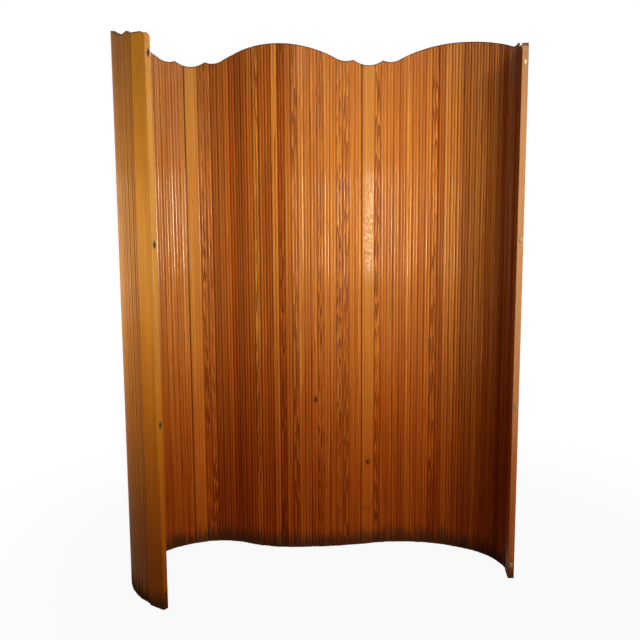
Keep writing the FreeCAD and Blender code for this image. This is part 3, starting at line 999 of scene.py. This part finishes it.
def board_section(outward):
    """The section of an end board: a free edge on one side, and a bead or a cove on the other."""
    round_corner = corner_places()
    inner = BOARD_WIDTH / 2 - SHOULDER_SETBACK
    if outward < 0:
        section = Section(-round_corner[-1], -HALF_BOARD)
        for x in reversed(round_corner[:-1]):
            section.line(-x, -HALF_BOARD)
        section.line(inner, -HALF_BOARD)
        bead_edge(section, BOARD_WIDTH / 2, HALF_BOARD)
        for x in round_corner:
            section.line(-x, HALF_BOARD)
        free_edge(section, outward)
    else:
        section = Section(-inner, -HALF_BOARD)
        for x in round_corner:
            section.line(x, -HALF_BOARD)
        free_edge(section, outward)
        for x in reversed(round_corner[:-1]):
            section.line(x, HALF_BOARD)
        section.line(-inner, HALF_BOARD)
        cove_edge(section, -BOARD_WIDTH / 2, HALF_BOARD)
    return section


def end_board(link, outward, material, fade, edge_gloss, shaded_corner):
    """An end board; outward is -1 where its free edge is on the left and 1 where it is on the right."""
    draw = random.Random(f"end board {link}")
    bm = raised(board_section(outward), board_top(outward), COVE_RADIUS - BOARD_WIDTH / 2)
    timber = Timber(draw, 0.0, 0.0)
    timber.fade = fade
    timber.free_side = outward
    timber.edge_gloss = edge_gloss
    timber.mark(bm, board_edge(outward, shaded_corner))
    node = NODES[link]
    finished(joined([(bm, PLACES[link])]), f"{node}_rounded", material, node, [node])


def cable_runs(link):
    """The straight run of every cable in one link, from hinge line to hinge line."""
    start, end = -LENGTHS[link] / 2, LENGTHS[link] / 2
    if link == FIRST:
        start += CABLE_END_INSET
    if link == LAST:
        end -= CABLE_END_INSET
    bm = bmesh.new()
    lay = bm.verts.layers.float_vector.new("lay")
    for z in CABLE_HEIGHTS:
        made = bmesh.ops.create_cone(
            bm,
            cap_ends=True,
            segments=CABLE_SIDES,
            radius1=CABLE_RADIUS,
            radius2=CABLE_RADIUS,
            depth=end - start,
            matrix=Matrix.Translation(((start + end) / 2, 0, z)) @ Matrix.Rotation(math.pi / 2, 4, "Y"),
        )
        for vert in made["verts"]:
            vert[lay] = (math.atan2(vert.co.z - z, vert.co.y), vert.co.x + STARTS[link], 0)
    bmesh.ops.transform(bm, matrix=PLACES[link], verts=bm.verts[:])
    node = NODES[link]
    replaced = [f"cable_{n + 1}" for n in range(CABLES)] if link == ROOT else []
    finished(bm, f"{node}_cable_runs", STEEL, node, replaced)


def cover_plates(side, link, outward, material):
    """Lozenge plates over the cable ends, with eased rims."""
    bm = bmesh.new()
    lozenge = Matrix.Diagonal((PLATE_LENGTH / 2, PLATE_WIDTH / 2, 1, 1))
    upright = Matrix.Rotation(math.pi / 2, 4, "Y") @ lozenge
    for z in CABLE_HEIGHTS:
        place = Matrix.Translation((outward * BOARD_WIDTH / 2, 0, z)) @ upright
        ring = bmesh.ops.create_circle(bm, cap_ends=True, segments=PLATE_CORNERS, radius=1, matrix=place)
        face = ring["verts"][0].link_faces[0]
        grown = bmesh.ops.extrude_face_region(bm, geom=[face])["geom"]
        points = [item for item in grown if isinstance(item, bmesh.types.BMVert)]
        bmesh.ops.translate(bm, verts=points, vec=(outward * PLATE_THICKNESS, 0, 0))
        bmesh.ops.bevel(
            bm,
            geom=[item for item in grown if isinstance(item, bmesh.types.BMEdge)],
            offset=PLATE_EASE,
            affect="EDGES",
            segments=PLATE_EASE_STEPS,
            profile=0.5,
            material=-1,
            clamp_overlap=True,
        )
    bmesh.ops.transform(bm, matrix=PLACES[link], verts=bm.verts[:])
    node = f"{side}_cover_plates"
    finished(bm, f"{node}_eased", material, NODES[link], [node])


# Pieces of the screen
slat_number = 0
for link, node in enumerate(NODES):
    if "slats" in node:
        narrow_slats(link, slat_number)
        slat_number += SLATS_IN_PAIR
    cable_runs(link)
wide_slat(LEFT_WIDE, hue=0.04, depth=0.0, fade=0.075)
wide_slat(ROOT, hue=0.0, depth=0.13, fade=0.07, knot=Vector((0.002, 0, 0.35)), scratch=0.153)
# On the right board the shade painted along the top covers its rounded corner
end_board(FIRST, -1, BOARD_PINE, fade=0.0, edge_gloss=14.0, shaded_corner=False)
end_board(LAST, 1, SHEEN_PAINTED_PINE, fade=0.31, edge_gloss=1.0, shaded_corner=True)
cover_plates("left", FIRST, -1, DARK_BRASS)
cover_plates("right", LAST, 1, BRIGHT_BRASS)

# Pieces that keep their solids
for node, material in (
    ("left_plate_pins", DARK_BRASS),
    ("right_plate_pins", BRIGHT_BRASS),
    ("left_cable_stops", STEEL),
    ("right_cable_stops", STEEL),
):
    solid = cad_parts[node]
    solid.data.materials.clear()
    solid.data.materials.append(material)


# Floor, world, lights and camera
FLOOR_HALF_SIZE = 40
FLOOR_DROP = 0.0005
FLOOR_GREY = rgb(0.35, 0.35, 0.35)
SHADOW_SHARE = 0.06
SHADOW_REACH = (0.8, 2.2)
WORLD_LIGHT = 0.045
SEEN_RAYS = ("Is Camera Ray", "Is Glossy Ray", "Is Transmission Ray")
WINDOW_GOLD = (1.0, 0.86, 0.64)
LAMP_GOLD = (1.0, 0.80, 0.50)
CAMERA_PLACE = (-0.188, -3.435, 1.439)
CAMERA_TILT = 0.1453
CAMERA_ROLL = -0.0051
SENSOR_WIDTH_MM = 36
FOCAL_LENGTH_MM = 48.84


def seen(tree):
    """1 for rays from the camera, from a mirror or through glass, and 0 for rays that light the object."""
    camera_ray, glossy_ray, clear_ray = [tree.node("ShaderNodeLightPath", output=kind) for kind in SEEN_RAYS]
    return tree.node("ShaderNodeClamp", {}, {"Value": camera_ray + glossy_ray + clear_ray})


def pale_floor():
    """A white floor that shows the shadow near the screen and fades into the background."""
    bm = bmesh.new()
    bmesh.ops.create_grid(bm, x_segments=1, y_segments=1, size=FLOOR_HALF_SIZE)
    mesh = bpy.data.meshes.new("floor")
    bm.to_mesh(mesh)
    bm.free()
    floor = bpy.data.objects.new("floor", mesh)
    bpy.context.scene.collection.objects.link(floor)
    floor.location.z = -FLOOR_DROP
    material = bpy.data.materials.new("pale_floor")
    tree = Tree(material)
    reach = tree.node("ShaderNodeVectorMath", {"operation": "LENGTH"}, {0: tree.place()}, "Value")
    glow = seen(tree) * (1 - SHADOW_SHARE + tree.ease(reach, *SHADOW_REACH) * SHADOW_SHARE)
    matt = tree.node("ShaderNodeBsdfDiffuse", {}, {"Color": FLOOR_GREY})
    white = tree.node("ShaderNodeEmission", {}, {"Color": WHITE, "Strength": 1.0})
    surface = tree.node("ShaderNodeMixShader", {}, {0: glow, 1: matt, 2: white})
    tree.node("ShaderNodeOutputMaterial", {}, {0: surface})
    mesh.materials.append(material)


def white_world():
    """White where it is seen, and a dim light on the object."""
    world = bpy.data.worlds.new("studio")
    bpy.context.scene.world = world
    tree = Tree(world)
    dim = tree.node("ShaderNodeBackground", {}, {"Color": WHITE, "Strength": WORLD_LIGHT})
    white = tree.node("ShaderNodeBackground", {}, {"Color": WHITE, "Strength": 1.0})
    surface = tree.node("ShaderNodeMixShader", {}, {0: seen(tree), 1: dim, 2: white})
    tree.node("ShaderNodeOutputWorld", {}, {0: surface})


def soft_light(name, place, target, width, height, watts, spread, colour=(1, 1, 1)):
    """A soft box of light at a place, turned to a target, whose light spreads over so many degrees."""
    light = bpy.data.lights.new(name, "AREA")
    light.shape = "RECTANGLE"
    light.size = width
    light.size_y = height
    light.energy = watts
    light.color = colour
    light.spread = math.radians(spread)
    lamp = bpy.data.objects.new(name, light)
    bpy.context.scene.collection.objects.link(lamp)
    lamp.location = place
    lamp.rotation_euler = (Vector(target) - Vector(place)).to_track_quat("-Z", "Y").to_euler()


def camera():
    lens = bpy.data.cameras.new("camera")
    lens.sensor_width = SENSOR_WIDTH_MM
    lens.lens = FOCAL_LENGTH_MM
    seer = bpy.data.objects.new("camera", lens)
    bpy.context.scene.collection.objects.link(seer)
    look = Matrix.Rotation(math.pi / 2 - CAMERA_TILT, 4, "X") @ Matrix.Rotation(CAMERA_ROLL, 4, "Z")
    seer.matrix_world = Matrix.Translation(CAMERA_PLACE) @ look
    bpy.context.scene.camera = seer


camera()
pale_floor()
white_world()
soft_light(
    "high_key", place=(0.9, -2.9, 2.9), target=(0.0, 0.0, 1.33), width=1.5, height=0.6, watts=14.5, spread=54
)
soft_light(
    "window",
    place=(2.0, -2.95, 1.20),
    target=(-0.1, 0.0, 1.45),
    width=0.5,
    height=0.8,
    watts=9,
    spread=70,
    colour=WINDOW_GOLD,
)
soft_light(
    "left_side",
    place=(-2.6, -0.25, 1.15),
    target=(-0.85, -0.42, 1.20),
    width=0.9,
    height=0.8,
    watts=7,
    spread=66,
    colour=LAMP_GOLD,
)
soft_light(
    "rear", place=(0.6, 4.0, 2.2), target=(-0.2, 0.0, 1.1), width=2.0, height=1.6, watts=70, spread=120
)
bpy.context.scene.view_settings.view_transform = "Standard"
